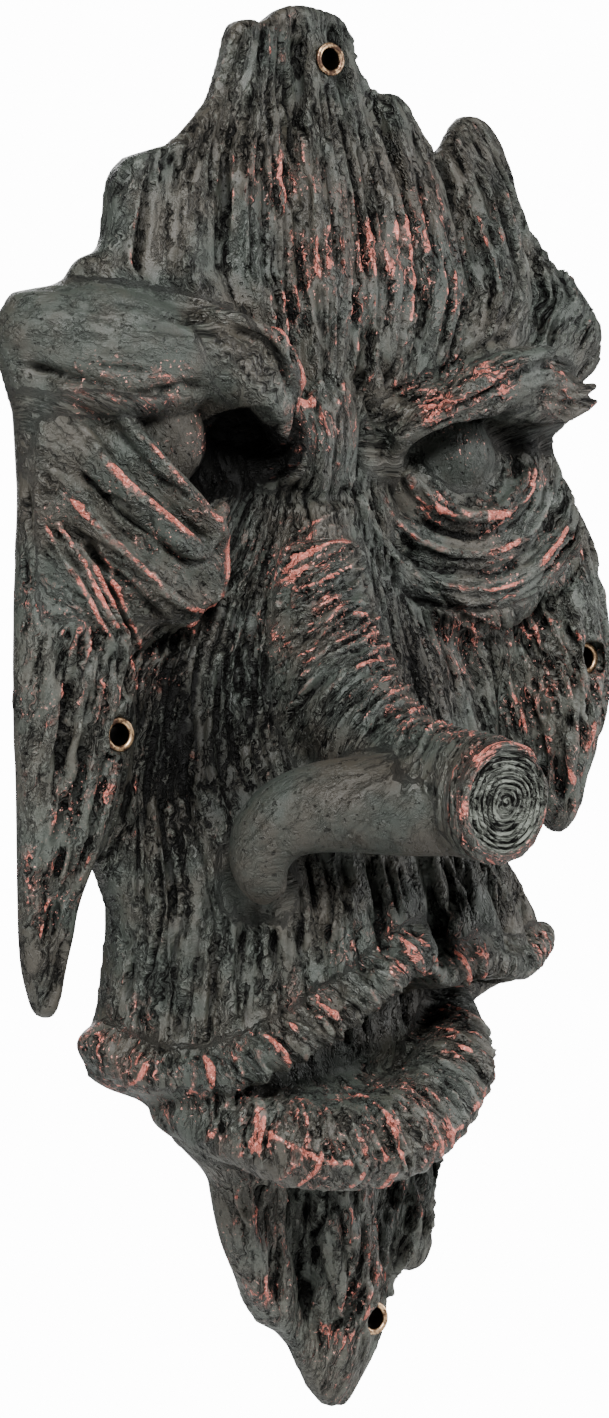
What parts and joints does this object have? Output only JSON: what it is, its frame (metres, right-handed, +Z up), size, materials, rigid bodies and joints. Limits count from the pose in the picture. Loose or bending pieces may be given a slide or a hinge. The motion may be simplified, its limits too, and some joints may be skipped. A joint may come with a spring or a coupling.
{
  "type": "wall sculpture",
  "caption": "Long grim face of old bark with a jagged crown, heavy brows, a sawn-off branch nose, a hooded mouth and hanging root beard, flat-backed to hang on a wall by eyelets.",
  "frame": {"origin": "on the flat back, half way up and on the middle line, where the sculpture meets the wall", "axes": "+Z up, the face looks along -Y, +X to the right of someone looking at it"},
  "size_m": [0.2068, 0.0928, 0.3973],
  "materials": {
    "bronze_green_resin": "matte dark green-bronze cast resin, dry-brushed with copper pink on the ridges",
    "eyelet_brass": "worn brass"
  },
  "bodies": {
    "root": {"face": "bronze_green_resin", "eyelet_top": "eyelet_brass", "eyelet_left": "eyelet_brass", "eyelet_right": "eyelet_brass", "eyelet_bottom": "eyelet_brass"}
  },
  "joints": []
}
